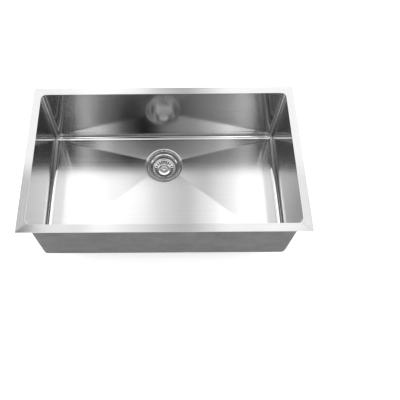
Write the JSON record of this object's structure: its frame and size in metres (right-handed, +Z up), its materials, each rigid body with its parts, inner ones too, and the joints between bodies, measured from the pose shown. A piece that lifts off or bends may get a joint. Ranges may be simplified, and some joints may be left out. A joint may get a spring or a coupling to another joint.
{
  "type": "undermount kitchen sink",
  "caption": "Deep rectangular undermount steel sink with a flat rim, a floor creased to a rear drain, and a lift-out basket strainer with a pull-up stopper.",
  "frame": {"origin": "middle of the rim's flat upper face, which meets the underside of the worktop", "axes": "+X to the right along the bowl's width, +Y to the back, +Z up"},
  "size_m": [0.812, 0.482, 0.342],
  "materials": {
    "brushed_sheet": "brushed satin",
    "polished_steel": "polished",
    "coat": "matt sprayed",
    "pad": "matt",
    "seal": "matt",
    "fibre": "matt pressed fibre",
    "nut_metal": "cast, satin",
    "bush_plastic": "satin"
  },
  "bodies": {
    "sink": {"bowl": "brushed_sheet", "rim_frame": "brushed_sheet", "strainer_body": "polished_steel", "sound_coat": "coat", "sound_pad_front": "pad", "sound_pad_left": "pad", "sound_pad_right": "pad", "flange_seal": "seal", "rubber_washer": "seal", "outlet_washer": "seal", "friction_ring": "fibre", "lock_nut": "nut_metal", "coupling_nut": "nut_metal"},
    "basket": {"basket_cup": "polished_steel", "guide_bush": "bush_plastic", "grip_ring": "seal", "bush_clip": "polished_steel"},
    "stopper": {"knob": "polished_steel", "stem": "polished_steel", "stopper_plate": "polished_steel", "stopper_seal": "seal", "clamp_washer": "polished_steel", "stem_nut": "polished_steel"}
  },
  "joints": [
    {"name": "basket_lift", "type": "slide", "parent": "sink", "child": "basket", "axis": [0, 0, 1], "range_m": [0, 0.33]},
    {"name": "stopper_travel", "type": "slide", "parent": "basket", "child": "stopper", "axis": [0, 0, 1], "range_m": [0, 0.009]}
  ]
}
